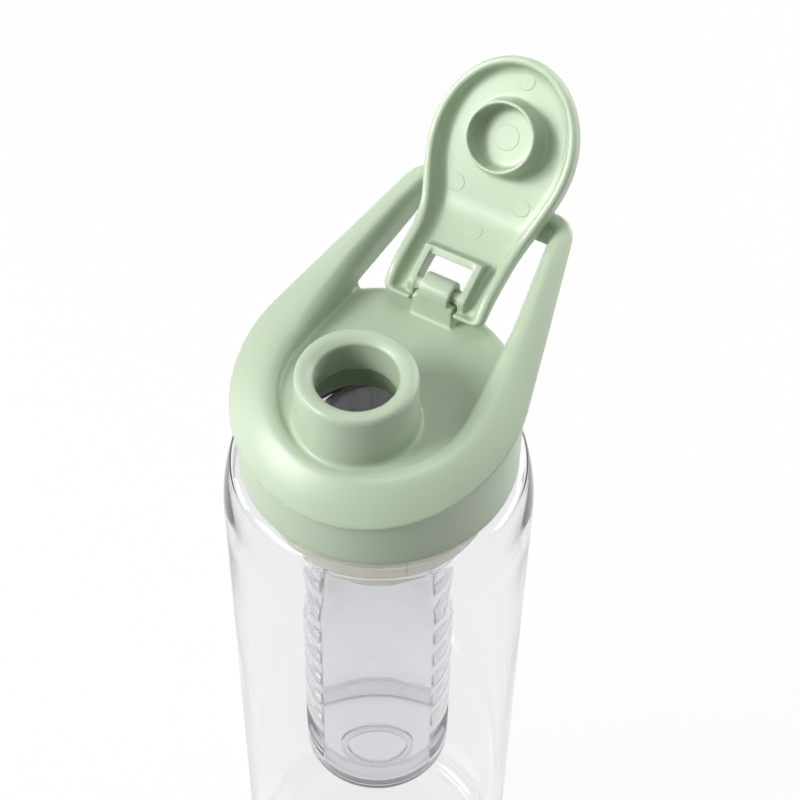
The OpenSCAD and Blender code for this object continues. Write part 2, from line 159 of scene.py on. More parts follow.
lid_middle, cap_middle = (0, 0, 0.22), (0, 0.055, 0.255)
soft_box("key_box", (-0.66, -0.66, 0.89), lid_middle, 0.55, 0.55, 14.0)
soft_box("top_box", (0.0, 0.1, 1.35), lid_middle, 0.6, 0.6, 2.6)
soft_box("back_box", (0.3, 1.05, 0.6), lid_middle, 0.7, 0.7, 8.0)
soft_box("side_box", (0.85, 0.62, 0.42), lid_middle, 0.6, 0.6, 3.0)
soft_box("low_strip", (-1.0, -0.28, 0.36), lid_middle, 0.35, 0.7, 2.0)
soft_box("cap_beam", (-0.20, -0.16, 0.46), cap_middle, 0.05, 0.05, 0.0038, spread=14)


# Bottle: blow-moulded clear copolyester with a raised base, an eased shoulder and
# a threaded neck, and wall enough to show as a grey line at its edges.
def rounded(points, radii, cuts=4, most_share=0.48):
    """Closed outline whose corners are turned by their radii, each with cuts + 1 points."""
    out = []
    for i, corner in enumerate(points):
        here = Vector(corner)
        legs = [Vector(points[i - 1]) - here, Vector(points[(i + 1) % len(points)]) - here]
        reach = [leg.normalized() * min(radii[i], most_share * leg.length) for leg in legs]
        for k in range(cuts + 1):
            t = k / cuts
            out.append(here + reach[0] * (1 - t) ** 2 + reach[1] * t ** 2)
    return out


def arc(middle, radius, start, stop, steps=10):
    """Points of an arc in the plane, from one angle in degrees to another."""
    turns = [radians(start + (stop - start) * i / steps) for i in range(steps + 1)]
    return [(middle[0] + radius * cos(a), middle[1] + radius * sin(a)) for a in turns]


def blend(a, b, t):
    """Value that eases from one to the other while t runs from 0 to 1."""
    return a + (b - a) * (1 - cos(pi * max(0.0, min(1.0, t)))) / 2


def cleaned(bm, weld=1e-6, sliver=1e-7):
    """The same bmesh with double points welded, slivers gone and its faces turned outward."""
    bmesh.ops.remove_doubles(bm, verts=bm.verts, dist=weld)
    bmesh.ops.dissolve_degenerate(bm, edges=bm.edges, dist=sliver)
    bmesh.ops.recalc_face_normals(bm, faces=bm.faces)
    return bm


def spun(outline, steps=160, closed=True, turn=2 * pi):
    """bmesh of an outline of (radius, height) turned about the Z axis."""
    bm = bmesh.new()
    verts = [bm.verts.new((p[0], 0, p[1])) for p in outline]
    ends = zip(verts, verts[1:] + verts[:1]) if closed else zip(verts, verts[1:])
    edges = [bm.edges.new(pair) for pair in ends]
    whole = turn == 2 * pi
    bmesh.ops.spin(bm, geom=verts + edges if whole else [bm.faces.new(verts)],
                   cent=(0, 0, 0), axis=(0, 0, 1), angle=turn, steps=steps, use_merge=whole)
    return cleaned(bm)


def piece(name, bm, material, body):
    """Makes a finished piece of the object from a bmesh and lets it ride on its body."""
    mesh = bpy.data.meshes.new(name)
    bm.to_mesh(mesh)
    bm.free()
    made = link_object(name, mesh, material)
    mesh.shade_smooth()
    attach(made, body)
    return made


def swept_thread(root_r, way, start, pitch=0.004, turns=1.5, steps=96):
    """bmesh of a thread ridge wound round the Z axis, out from or in from a wall."""
    depth, root, crest, sunk = 0.0013, 0.0018, 0.0008, 0.0004
    run_in, least_share = 10, 0.25
    count = int(turns * steps)
    bm = bmesh.new()
    ring = None
    for i in range(count + 1):
        full = max(least_share, min(1.0, min(i, count - i) / run_in))
        a, z = 2 * pi * i / steps, start + pitch * i / steps
        foot_at, crest_at = root_r - way * sunk, root_r + way * depth * full
        corners = [(foot_at, z - root / 2), (crest_at, z - crest / 2),
                   (crest_at, z + crest / 2), (foot_at, z + root / 2)]
        new = [bm.verts.new((r * cos(a), r * sin(a), h)) for r, h in corners]
        if ring:
            for k in range(4):
                bm.faces.new((ring[k], ring[(k + 1) % 4], new[(k + 1) % 4], new[k]))
        else:
            bm.faces.new(new)
        ring = new
    bm.faces.new(ring)
    bmesh.ops.recalc_face_normals(bm, faces=bm.faces)
    return bm


def joined(*parts):
    """One bmesh that holds the shells of several."""
    whole = bmesh.new()
    for part in parts:
        mesh = bpy.data.meshes.new("part")
        part.to_mesh(mesh)
        part.free()
        whole.from_mesh(mesh)
        bpy.data.meshes.remove(mesh)
    return whole


def clear_plastic(name, tint, roughness, ior, density, wave):
    """Clear moulded plastic: slight grey absorption and faint flow waves in its skin."""
    made = bpy.data.materials.new(name)
    made.use_nodes = True
    tree = made.node_tree
    shader = tree.nodes["Principled BSDF"]
    shader.inputs["Base Color"].default_value = (*tint, 1)
    shader.inputs["Transmission Weight"].default_value = 1.0
    shader.inputs["Roughness"].default_value = roughness
    shader.inputs["IOR"].default_value = ior
    place = tree.nodes.new("ShaderNodeTexCoord")
    scale = tree.nodes.new("ShaderNodeMapping")
    scale.inputs["Scale"].default_value = (1.0, 1.0, 0.35)
    noise = tree.nodes.new("ShaderNodeTexNoise")
    noise.inputs["Scale"].default_value = 60.0
    noise.inputs["Detail"].default_value = 1.0
    bump = tree.nodes.new("ShaderNodeBump")
    bump.inputs["Strength"].default_value = wave
    bump.inputs["Distance"].default_value = 0.001
    tree.links.new(place.outputs["Object"], scale.inputs["Vector"])
    tree.links.new(scale.outputs["Vector"], noise.inputs["Vector"])
    tree.links.new(noise.outputs["Fac"], bump.inputs["Height"])
    tree.links.new(bump.outputs["Normal"], shader.inputs["Normal"])
    haze = tree.nodes.new("ShaderNodeVolumeAbsorption")
    haze.inputs["Color"].default_value = (0.55, 0.58, 0.62, 1)
    haze.inputs["Density"].default_value = density
    tree.links.new(haze.outputs["Volume"], tree.nodes["Material Output"].inputs["Volume"])
    return made


body_r, wall, corner_wall = 0.0365, 0.0011, 0.0009
shoulder_z, neck_r, neck_t, mouth_z = 0.1996, 0.0284, 0.0028, 0.2130
ease_h, ease_in, ease_turn, shoulder_r = 0.0146, 0.002, 18, 0.0032
foot_r, base_t, punt_r, punt_h = 0.0055, 0.0035, 0.026, 0.003
neck_fillet, inner_fillet, thread_z = 0.0006, 0.002, 0.2044
seam_turn, seam_half, seam_rise = -58.125, 0.5, 0.00005
arc_mid = (body_r - ease_in - shoulder_r * cos(radians(ease_turn)), shoulder_z - shoulder_r)
ease_z = arc_mid[1] + shoulder_r * sin(radians(ease_turn))


def eased(depth, i, steps=12):
    """Point of the eased shoulder, at a depth under the outer skin."""
    t = i / steps
    lean = radians(ease_turn) * t
    return (body_r - ease_in * t * t - depth * cos(lean),
            ease_z - ease_h * (1 - t) - depth * sin(lean))


def straight(radius, i, steps):
    """Point of the straight wall, from the foot up to where the shoulder eases in."""
    return (radius, foot_r + (ease_z - ease_h - foot_r) * i / steps)


def punt(height, i, steps=8):
    """Point of the raised base, from its middle out."""
    return (punt_r * i / steps, height + punt_h * (1 - (i / steps) ** 2))


# The inner wall has many rings, so that its smooth shading bends no light where
# the taper under the shoulder begins.
outside = [punt(0, i) for i in range(9)]
outside += arc((body_r - foot_r, foot_r), foot_r, -90, 0)
outside += [straight(body_r, i, 6) for i in range(1, 6)]
outside += [eased(0, i) for i in range(13)]
outside += arc(arc_mid, shoulder_r, ease_turn, 90)
outside += arc((neck_r + neck_fillet, shoulder_z + neck_fillet), neck_fillet, 270, 180, 4)
outside += arc((neck_r - neck_t / 2, mouth_z - neck_t / 2), neck_t / 2, 0, 180, 12)
inside_wall = arc((neck_r - neck_t + inner_fillet, shoulder_z - corner_wall + inner_fillet),
                  inner_fillet, 180, 270, 6)
inside_wall += arc(arc_mid, shoulder_r - corner_wall, 90, ease_turn)
inside_wall += [eased(blend(corner_wall, wall, i / 10), 12 - i) for i in range(1, 13)]
inside_wall += [straight(body_r - wall, 20 - i, 20) for i in range(1, 20)]
inside_wall += arc((body_r - foot_r, base_t + foot_r - wall / 2), foot_r - wall, 0, -90)
inside_wall += [punt(base_t, 8 - i) for i in range(9)]
clear_body = clear_plastic("clear_body", (0.935, 0.936, 0.939), roughness=0.02, ior=1.48,
                           density=16.0, wave=0.05)
body_skin = spun(outside + inside_wall, 192, closed=False)
for vert in body_skin.verts:
    off_seam = (degrees(atan2(vert.co.y, vert.co.x)) - seam_turn) % 180
    on_seam = min(off_seam, 180 - off_seam) < seam_half
    if on_seam and vert.co.xy.length > body_r - wall / 2:
        vert.co.xy *= 1 + seam_rise / body_r
bottle = piece("bottle", joined(body_skin, swept_thread(neck_r, 1, thread_z)),
               clear_body, "bottle")
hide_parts("bottle_body")


# Infuser collar: glossy beige moulding that hangs in the mouth by its flange. A
# ledge and two hooks hold the tube, and two ribs keep the tube in the middle.
def plastic(name, colour, roughness, grain, grain_scale, bleed):
    """Moulded opaque plastic with a fine grain, a slight mottle and soft depth."""
    mottle_share, roughness_swing = 0.035, 0.05
    made = bpy.data.materials.new(name)
    made.use_nodes = True
    tree = made.node_tree
    shader = tree.nodes["Principled BSDF"]
    shader.inputs["IOR"].default_value = 1.55
    shader.inputs["Subsurface Weight"].default_value = bleed
    shader.inputs["Subsurface Radius"].default_value = (0.0022, 0.0024, 0.0018)
    place = tree.nodes.new("ShaderNodeTexCoord")
    mottle = tree.nodes.new("ShaderNodeTexNoise")
    mottle.inputs["Scale"].default_value = 45.0
    mottle.inputs["Detail"].default_value = 3.0
    tone = tree.nodes.new("ShaderNodeMix")
    tone.data_type = "RGBA"
    tone.inputs["A"].default_value = (*[c * (1 - mottle_share) for c in colour], 1)
    tone.inputs["B"].default_value = (*[min(1, c * (1 + mottle_share)) for c in colour], 1)
    skin = tree.nodes.new("ShaderNodeTexNoise")
    skin.inputs["Scale"].default_value = grain_scale
    skin.inputs["Detail"].default_value = 2.0
    sheen = tree.nodes.new("ShaderNodeMapRange")
    sheen.inputs["To Min"].default_value = roughness - roughness_swing
    sheen.inputs["To Max"].default_value = roughness + roughness_swing
    bump = tree.nodes.new("ShaderNodeBump")
    bump.inputs["Strength"].default_value = grain
    bump.inputs["Distance"].default_value = 0.0001
    tree.links.new(place.outputs["Object"], mottle.inputs["Vector"])
    tree.links.new(place.outputs["Object"], skin.inputs["Vector"])
    tree.links.new(mottle.outputs["Fac"], tone.inputs["Factor"])
    tree.links.new(tone.outputs["Result"], shader.inputs["Base Color"])
    tree.links.new(mottle.outputs["Fac"], sheen.inputs["Value"])
    tree.links.new(sheen.outputs["Result"], shader.inputs["Roughness"])
    tree.links.new(skin.outputs["Fac"], bump.inputs["Height"])
    tree.links.new(bump.outputs["Normal"], shader.inputs["Normal"])
    return made


def boxed(low, high, bevel=0.0):
    """bmesh of a box between two corners, its edges turned by a small bevel."""
    bm = bmesh.new()
    size = Vector(high) - Vector(low)
    middle = (Vector(high) + Vector(low)) / 2
    bmesh.ops.create_cube(bm, size=1.0, matrix=Matrix.Translation(middle) @ Matrix.Diagonal((*size, 1)))
    if bevel:
        bmesh.ops.bevel(bm, geom=bm.edges[:], offset=bevel, affect="EDGES", segments=3,
                        profile=0.5, material=-1)
    return bm


def turned(bm, angle):
    """The same bmesh turned about the Z axis by an angle in degrees."""
    bmesh.ops.rotate(bm, verts=bm.verts, cent=(0, 0, 0),
                     matrix=Matrix.Rotation(radians(angle), 3, "Z"))
    return bm


def sector(in_r, out_r, low, high, middle, span, steps=24):
    """bmesh of part of a flat ring, centred on a direction given in degrees."""
    outline = [(in_r, low), (out_r, low), (out_r, high), (in_r, high)]
    return turned(spun(outline, steps, turn=radians(span)), middle - span / 2)


tube_turn, lock_at = 28.9, 12.4
collar_r, collar_in, collar_low, collar_top = 0.0246, 0.0230, 0.1800, 0.2151
flange_r, flange_z, ledge_z, ledge_in = 0.0276, 0.2139, 0.2008, 0.0212
shelf_r, shelf_t, into_wall = 0.0196, 0.0016, 0.0004
hook_in, hook_low, hook_top, hook_span = 0.0216, 0.2027, 0.2042, 10
rib_half, rib_edge, rib_turn, rib_gap = 0.0008, 0.0003, 123, 0.0012
line_half, line_rise, line_sunk, line_turn, line_gap = 0.00015, 0.00012, 0.0003, -44.8, 0.001
collar_outline = rounded(
    [(shelf_r, collar_low), (collar_r, collar_low), (collar_r, flange_z), (flange_r, flange_z),
     (flange_r, collar_top), (collar_in, collar_top), (collar_in, ledge_z), (ledge_in, ledge_z),
     (ledge_in, ledge_z - shelf_t), (collar_in, ledge_z - shelf_t),
     (collar_in, collar_low + shelf_t), (shelf_r, collar_low + shelf_t)],
    [0.0004, 0.0012, 0.0004, 0.0005, 0.0005, 0.0006, 0.0003, 0.0004, 0.0004, 0.0003, 0.0005, 0.0004])
collar_parts = [spun(collar_outline)]
for side in (0, 180):
    collar_parts.append(sector(hook_in, collar_in + into_wall, hook_low, hook_top,
                               lock_at + side, hook_span))
    rib = boxed((shelf_r, -rib_half, collar_low + rib_gap),
                (collar_in + into_wall, rib_half, ledge_z - rib_gap), rib_edge)
    collar_parts.append(turned(rib, rib_turn + side))
mould_line = boxed((collar_r - line_sunk, -line_half, collar_low + line_gap),
                   (collar_r + line_rise, line_half, flange_z - line_gap))
collar_parts.append(turned(mould_line, line_turn))
beige = plastic("collar_beige", (0.62, 0.60, 0.505), roughness=0.22, grain=0.03,
                grain_scale=900.0, bleed=0.08)
collar = piece("collar", joined(*collar_parts), beige, "bottle")
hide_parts("infuser_collar")


# Seals: two silicone rings, one under the collar's flange and one in the lid,
# with round edges where they are squeezed.
silicone = plastic("seal_silicone", (0.80, 0.81, 0.80), roughness=0.5, grain=0.08,
                   grain_scale=700.0, bleed=0.3)
seal_bead = 0.00035
for name, in_r, out_r, low, high, body, node in (
        ("collar_gasket", 0.0248, 0.0276, 0.2130, 0.2139, "bottle", "collar_seal"),
        ("lid_gasket", 0.0240, 0.0287, 0.2151, 0.2165, "seal", "lid_seal")):
    outline = rounded([(in_r, low), (out_r, low), (out_r, high), (in_r, high)], [seal_bead] * 4)
    gasket = piece(name, spun(outline, 128), silicone, body)
    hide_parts(node)


# Infuser tube: clear tube with a rim that rests on the collar's ledge and two
# ladders of drain slots, one on each side of the view.
def shaped(name, bm):
    """A loose working object for modifiers, which a piece is then made from."""
    mesh = bpy.data.meshes.new(name)
    bm.to_mesh(mesh)
    bm.free()
    return link_object(name, mesh)


def baked(made):
    """bmesh of a working object with its modifiers applied. The object is removed."""
    bpy.context.view_layer.update()
    graph = bpy.context.evaluated_depsgraph_get()
    bm = bmesh.new()
    bm.from_object(made, graph)
    bpy.data.objects.remove(made)
    return bm


def cut(target, tool, way="DIFFERENCE"):
    """bmesh of a target cut by, or kept within, a tool."""
    body, knife = shaped("target", target), shaped("tool", tool)
    change = body.modifiers.new("cut", "BOOLEAN")
    change.operation = way
    change.solver = "EXACT"
    change.object = knife
    result = baked(body)
    bpy.data.objects.remove(knife)
    return result


over = 0.001
tube_r, tube_in, tube_low, rim_r, rim_top = 0.01925, 0.01765, 0.0772, 0.0227, 0.2024
slot_top, slot_h, slot_pitch, slot_count, slot_span = 0.1732, 0.0032, 0.0099, 9, 84
groove_in, groove_at, groove_span = 0.0213, lock_at - 60, 14
tube_outline = rounded(
    [(tube_in, tube_low), (tube_r, tube_low), (tube_r, ledge_z), (rim_r, ledge_z),
     (rim_r, rim_top), (tube_in, rim_top)],
    [0.0004, 0.0004, 0.0008, 0.0005, 0.0005, 0.0010])
slots = []
for i in range(slot_count):
    for side in (0, 180):
        low = slot_top - slot_h - i * slot_pitch
        slots.append(sector(tube_in - over, tube_r + over, low, low + slot_h,
                            tube_turn + side, slot_span, 40))
for side in (0, 180):
    slots.append(sector(groove_in, rim_r + over, ledge_z - over, rim_top + over,
                        groove_at + side, groove_span))
tube_mesh = cut(spun(tube_outline), joined(*slots))
clear_infuser = clear_plastic("clear_infuser", (0.92, 0.921, 0.928), roughness=0.03, ior=1.49,
                              density=90.0, wave=0.05)
tube = piece("tube", tube_mesh, clear_infuser, "infuser")
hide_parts("infuser_tube")


# Infuser end cap: clear cup-shaped cap whose spigot turns in the tube's foot. Two
# lugs run in the tube's groove, and a ring boss stands under it.
plate_low, spigot_r, spigot_top, spigot_t = 0.075, 0.01735, 0.0860, 0.0015
boss_in, boss_r, boss_h = 0.0065, 0.008, 0.0022
lug_low, lug_top, lug_out, lug_span = 0.0800, 0.0826, 0.0008, 24
cap_outline = rounded(
    [(0.0, plate_low), (tube_r, plate_low), (tube_r, tube_low), (spigot_r, tube_low),
     (spigot_r, spigot_top), (spigot_r - spigot_t, spigot_top), (spigot_r - spigot_t, tube_low),
     (0.0, tube_low)],
    [0.0, 0.0009, 0.0004, 0.0003, 0.0005, 0.0005, 0.0010, 0.0])
boss = spun(rounded([(boss_in, plate_low - boss_h), (boss_r, plate_low - boss_h),
                     (boss_r, plate_low + into_wall), (boss_in, plate_low + into_wall)],
                    [0.0005, 0.0005, 0.0001, 0.0001]), 96)
lugs = [sector(spigot_r - into_wall, spigot_r + lug_out, lug_low, lug_top,
               tube_turn + side, lug_span) for side in (0, 180)]
end_cap = piece("end_cap", joined(spun(cap_outline, 128), boss, *lugs), clear_infuser,
                "infuser_foot")
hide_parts("infuser_end_cap")


# Lid: one matt green moulding. A skirt and top are wrapped by a sloped band that
# lies on a tilted plane and runs out behind as the carrying loop.
skirt_z, skirt_in, skirt_r, disc_z, disc_t = 0.2000, 0.03005, 0.03235, 0.2220, 0.0022
band_r, reach, corner_r, corner_x = 0.0336, 0.0547, 0.0065, 0.0153
corner_y = reach - corner_r
tilt, edge_rise = radians(14.23), 0.02314
spout_y, spout_r, bore_r, spout_top = -0.0098, 0.0135, 0.00925, 0.2376
hinge = Vector((0, 0.0268, 0.2288))
tangent = atan2(corner_y, corner_x) - acos((band_r - corner_r) / hypot(corner_x, corner_y))

# The band's sizes at its stations, from the front of the lid to the loop's end. The crest
# and the inner edge start at the second station, because at the first they meet the top.
stations = (-band_r, 0.005, 0.027, 0.041, corner_y, reach)
band_widths = (0.0109, 0.012, 0.0082, 0.0067, 0.0058, 0.0046)
crest_heights = (0.0034, 0.0030, 0.0026, 0.0018, 0.0006)
inner_heights = (0.0024, 0.0, -0.0007, -0.0007, 0.0)
outer_lows = (-0.001, -0.001, -0.0069, -0.0069, -0.0069, -0.006)
loop_depths = (0.0069, 0.0069, 0.0069, 0.0069, 0.0069, 0.006)
crest_share, front_lift, floor_sunk = 0.66, 0.0002, 0.0004


def along(y, values):
    """Value at a place y of the band's edge, drawn straight between its stations."""
    for k in range(len(stations) - 1):
        if y <= stations[k + 1]:
            t = max(0.0, (y - stations[k]) / (stations[k + 1] - stations[k]))
            return values[k] + (values[k + 1] - values[k]) * t
    return values[-1]


def edge_z(y):
    """Height of the tilted plane that the band's outer edge lies on."""
    return skirt_z + edge_rise + y * tan(tilt)


def edge_path():
    """Band's outer edge in plan, right round: a place and its outward direction each."""
    out = []
    turn = Vector((cos(tangent), sin(tangent)))
    start, stop = turn * band_r, Vector((corner_x, corner_y)) + turn * corner_r
    for i in range(29):
        a = -pi / 2 + (tangent + pi / 2) * i / 28
        out.append((Vector((cos(a), sin(a))) * band_r, Vector((cos(a), sin(a)))))
    for i in range(1, 17):
        out.append((start.lerp(stop, i / 16), turn))
    for i in range(1, 11):
        a = tangent + (pi / 2 - tangent) * i / 10
        away = Vector((cos(a), sin(a)))
        out.append((Vector((corner_x, corner_y)) + away * corner_r, away))
    for i in range(1, 5):
        out.append((Vector((corner_x * (1 - i / 4), reach)), Vector((0, 1))))
    mirrored = [(Vector((-p.x, p.y)), Vector((-n.x, n.y))) for p, n in out[-2:0:-1]]
    return out + mirrored


def band_section(place, away):
    """One closed ring of the band, from its lower edge over the crest and back."""
    foot_in, edge_in, edge_soft = 0.0018, 0.0001, 0.0006
    flank_share, flank_rise_share, brow_share, brow_rise_share = 0.30, 0.56, 0.86, 0.6
    y, w = place.y, along(place.y, band_widths)
    front_top = disc_z + front_lift
    top = along(y, (front_top - edge_z(-band_r + w * crest_share), *crest_heights))
    inn = along(y, (front_top - edge_z(-band_r + w), *inner_heights))
    own = y - away.y * w
    t = max(0.0, min(1.0, (y - stations[1]) / (stations[2] - stations[1])))
    front_floor, loop_floor = disc_z - disc_t - floor_sunk, edge_z(own) - along(y, loop_depths)
    floor = (1 - t) * front_floor + t * loop_floor - edge_z(own)
    section = rounded(
        [(foot_in, along(y, outer_lows)), (0, -edge_soft), (edge_in, 0.0),
         (w * flank_share, top * flank_rise_share), (w * crest_share, top),
         (w * brow_share, inn + (top - inn) * brow_rise_share), (w, inn - edge_soft), (w, floor)],
        [0.0008, 0.0005, 0.0007, 0.003, 0.0022, 0.0016, 0.0009, 0.0012])
    ring = []
    for across, up in section:
        spot = place - away * across
        ring.append((spot.x, spot.y, edge_z(spot.y) + up))
    return ring


def lofted(rings, closed=True):
    """bmesh of a skin over rings of equal length, joined up end to end if closed."""
    bm = bmesh.new()
    made = [[bm.verts.new(p) for p in ring] for ring in rings]
    count = len(made)
    for i in range(count if closed else count - 1):
        a, b = made[i], made[(i + 1) % count]
        for k in range(len(a)):
            m = (k + 1) % len(a)
            bm.faces.new((a[k], a[m], b[m], b[k]))
    bmesh.ops.recalc_face_normals(bm, faces=bm.faces)
    return bm


def drawn_out(points, way):
    """bmesh of a flat outline in space, drawn out along a vector."""
    bm = bmesh.new()
    face = bm.faces.new([bm.verts.new(p) for p in points])
    grown = bmesh.ops.extrude_face_region(bm, geom=[face])
    moved = [v for v in grown["geom"] if isinstance(v, bmesh.types.BMVert)]
    bmesh.ops.translate(bm, verts=moved, vec=way)
    bmesh.ops.recalc_face_normals(bm, faces=bm.faces)
    return bm


def inside_band(extra, low, high):
    """bmesh of the space inside the band in plan, and a bit more, between two heights."""
    rim = [p - n * (along(p.y, band_widths) - extra) for p, n in edge_path()]
    return drawn_out([(p.x, p.y, low) for p in rim], (0, 0, high - low))


def over_plane(drop):
    """bmesh of the space over the band's tilted plane, from a small drop under it."""
    far_out = 0.2
    bm = boxed((-far_out, -far_out, 0), (far_out, far_out, far_out))
    place = Matrix.Translation((0, 0, skirt_z + edge_rise - drop)) @ Matrix.Rotation(tilt, 4, "X")
    bmesh.ops.transform(bm, matrix=place, verts=bm.verts)
    return bm


def lid_hollow():
    """bmesh of the lid's inside: the threaded skirt, the seal's seat and the well over it."""
    well_r, seat_r, seat_z, step_z = 0.0238, 0.0289, 0.2165, 0.2153
    return spun([(0, skirt_z - over), (skirt_in, skirt_z - over), (skirt_in, step_z),
                 (seat_r, step_z), (seat_r, seat_z), (well_r, seat_z),
                 (well_r, disc_z - disc_t), (0, disc_z - disc_t)], closed=False)


def bar_along_x(radius, length, middle, sides=64):
    """bmesh of a round bar that lies across the bottle."""
    bm = bmesh.new()
    bmesh.ops.create_cone(bm, cap_ends=True, segments=sides, radius1=radius, radius2=radius,
                          depth=length, matrix=Matrix.Translation(middle)
                          @ Matrix.Rotation(pi / 2, 4, "Y"))
    return bm


def at_spout(bm):
    """The same bmesh moved from the bottle's axis to the spout's."""
    bmesh.ops.translate(bm, verts=bm.verts, vec=(0, spout_y, 0))
    return bm


def fused(bm, voxel, rounds=4):
    """bmesh of overlapping shells grown into one skin, with its corners softened."""
    made = shaped("fused", bm)
    remesh = made.modifiers.new("remesh", "REMESH")
    remesh.mode = "VOXEL"
    remesh.voxel_size = voxel
    soften = made.modifiers.new("soften", "SMOOTH")
    soften.factor = 0.5
    soften.iterations = rounds
    return baked(made)


def thinned(bm, share):
    """bmesh with fewer faces where the skin is nearly flat."""
    made = shaped("thinned", bm)
    fewer = made.modifiers.new("fewer", "DECIMATE")
    fewer.ratio = share
    return baked(made)


edge_round, disc_round, foot_round = 0.0005, 0.0039, 0.0016
lip_round, lip_fall, lip_in = 0.0015, 0.0009, 0.0006
core_r, core_top, core_low = spout_r - 0.0023, disc_z + 0.006, 0.21
spout_foot, top_low, thread_in_z = disc_z - 0.0011, skirt_z + 0.008, 0.2024
barrel_r, barrel_half, pin_hole, pin_hole_l = 0.0034, 0.0038, 0.0016, 0.012
plane_gap, side_gap, top_gap, recess_low, recess_top = 0.0005, 0.0004, 0.001, 0.211, 0.25
block_half, block_low, block_top = 0.0051, disc_z - 0.002, hinge.z - 0.0009
skirt_bar = spun([(0, skirt_z), (skirt_r - edge_round, skirt_z), (skirt_r, skirt_z + edge_round),
                  (skirt_r, edge_z(reach)), (0, edge_z(reach))], closed=False)
skirt = cut(cut(skirt_bar, over_plane(plane_gap)), inside_band(side_gap, recess_low, recess_top))
skirt = cut(skirt, lid_hollow())
top_bar = spun([(0, top_low), (skirt_r, top_low)]
               + arc((skirt_r - disc_round, disc_z - disc_round), disc_round, 0, 90)
               + [(0, disc_z)], closed=False)
spout_core = at_spout(spun([(0, core_low), (core_r, core_low), (core_r, core_top), (0, core_top)],
                           96, closed=False))
lid_top = cut(top_bar, inside_band(top_gap, skirt_z, disc_z + over), "INTERSECT")
lid_top = cut(cut(lid_top, lid_hollow()), spout_core)
band = cut(lofted([band_section(p, n) for p, n in edge_path()]), lid_hollow())
lip_z = spout_top - lip_fall - lip_in
lip_w = spout_r - lip_round - bore_r - lip_in
spout = at_spout(spun([(core_r, spout_foot), (spout_r + foot_round, spout_foot)]
                      + arc((spout_r + foot_round, disc_z + foot_round), foot_round, 270, 180)
                      + arc((spout_r - lip_round, spout_top - lip_round), lip_round, 0, 90)
                      + [(spout_r - lip_round - lip_w * i / 6, spout_top - lip_fall * (i / 6) ** 2)
                         for i in range(1, 6)]
                      + arc((bore_r + lip_in, lip_z), lip_in, 90, 180, 5)
                      + [(bore_r, core_top), (core_r, core_top)], 128))
front_y, back_y = hinge.y - barrel_r, hinge.y + barrel_r
block = boxed((-block_half, front_y, block_low), (block_half, back_y, block_top))
neck_block = boxed((-barrel_half, front_y, block_low), (barrel_half, back_y, hinge.z))
barrel = bar_along_x(barrel_r, 2 * barrel_half, hinge)
hinge_parts = [cut(part, bar_along_x(pin_hole, pin_hole_l, hinge))
               for part in (block, neck_block, barrel)]
lid_parts = joined(skirt, lid_top, band, spout, *hinge_parts,
                   swept_thread(skirt_in, -1, thread_in_z))
sage = plastic("lid_green", (0.440, 0.530, 0.388), roughness=0.37, grain=0.10,
               grain_scale=1400.0, bleed=0.12)
lid_mesh = thinned(fused(lid_parts, voxel=0.00042), share=0.5)
lid = piece("lid", lid_mesh, sage, "lid")
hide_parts("lid_body")


# Flip cap: a dished green moulding with a round lip, a plug ring for the spout and
# a notch that straddles the lid's barrel on two trunnions. It is made closed over
# the hinge, with s along it and n up, and is then swung open.
head_w, neck_w, head_s, head_l = 0.0175, 0.0128, 0.0340, 0.0210
neck_s, cap_end, plug_s = 0.009, 0.0043, 0.0366
open_turn, back_slope = radians(129.493), radians(2.86)
ease_start, ease_end, floor_t = 0.001, 0.020, 0.0021
rim_low, rim_high, back_low, back_high = -0.0019, 0.0063, 0.0026, 0.0132


def rim_n(s):
    """Height of the lip over the hinge, which eases up from the hinge to the head."""
    return blend(rim_low, rim_high, (s + ease_start) / ease_end)


def back_n(s):
    """Height of the cap's back, which eases up and then falls slowly to the tip."""
    risen = blend(back_low, back_high, (s + cap_end) / (ease_end + cap_end))
    return risen - max(0.0, tan(back_slope) * (s - ease_end))


def floor_n(s):
    """Height of the cap's inner floor."""
    return back_n(s) - floor_t


def cap_ring(inset, height, squeeze=1.0):
    """One ring of the cap: its outline drawn in by a length, at a height that s gives."""
    neck_share, end_share, corner_most, corner_least = 1.2, 0.6, 0.002, 0.0004
    w, head, length = neck_w - neck_share * inset, head_w - inset, head_l - inset
    start = -cap_end + end_share * inset
    corner = max(corner_least, corner_most - end_share * inset)
    right = arc((w - corner, start + corner), corner, -90, 0, 6)
    right += [(w, start + corner + (neck_s - start - corner) * i / 8) for i in range(1, 8)]
    right += [(blend(w, head, i / 20), neck_s + (head_s - neck_s) * i / 20) for i in range(21)]
    tip = [(head * cos(pi * i / 56), head_s + length * sin(pi * i / 56)) for i in range(1, 56)]
    left = [(-x, s) for x, s in reversed(right)]
    return [(x * squeeze, s, height(s)) for x, s in right + tip + left]


def cap_rings():
    """Rings from the middle of the cap's back, round the lip, to the middle of its floor."""
    back_round, lip, fillet, rim_w = 0.0024, 0.001, 0.0018, 0.0022
    rings = [cap_ring(back_round, back_n, f) for f in (0.0, 0.4, 0.8)]
    for i in range(7):
        a = pi / 2 * i / 6
        rings.append(cap_ring(back_round * (1 - sin(a)),
                              lambda s, a=a: back_n(s) - back_round * (1 - cos(a))))
    for i in range(9):
        a = pi * i / 8
        rings.append(cap_ring(lip * (1 - cos(a)), lambda s, a=a: rim_n(s) + lip * (1 - sin(a))))
    for i in range(7):
        a = pi / 2 * i / 6

        def height(s, a=a):
            curve = min(fillet, 0.5 * (floor_n(s) - rim_n(s)))
            return floor_n(s) - curve * (1 - sin(a))
        rings.append(cap_ring(rim_w + fillet * (1 - cos(a)), height))
    rings += [cap_ring(rim_w + fillet, floor_n, f) for f in (0.8, 0.4, 0.0)]
    return rings


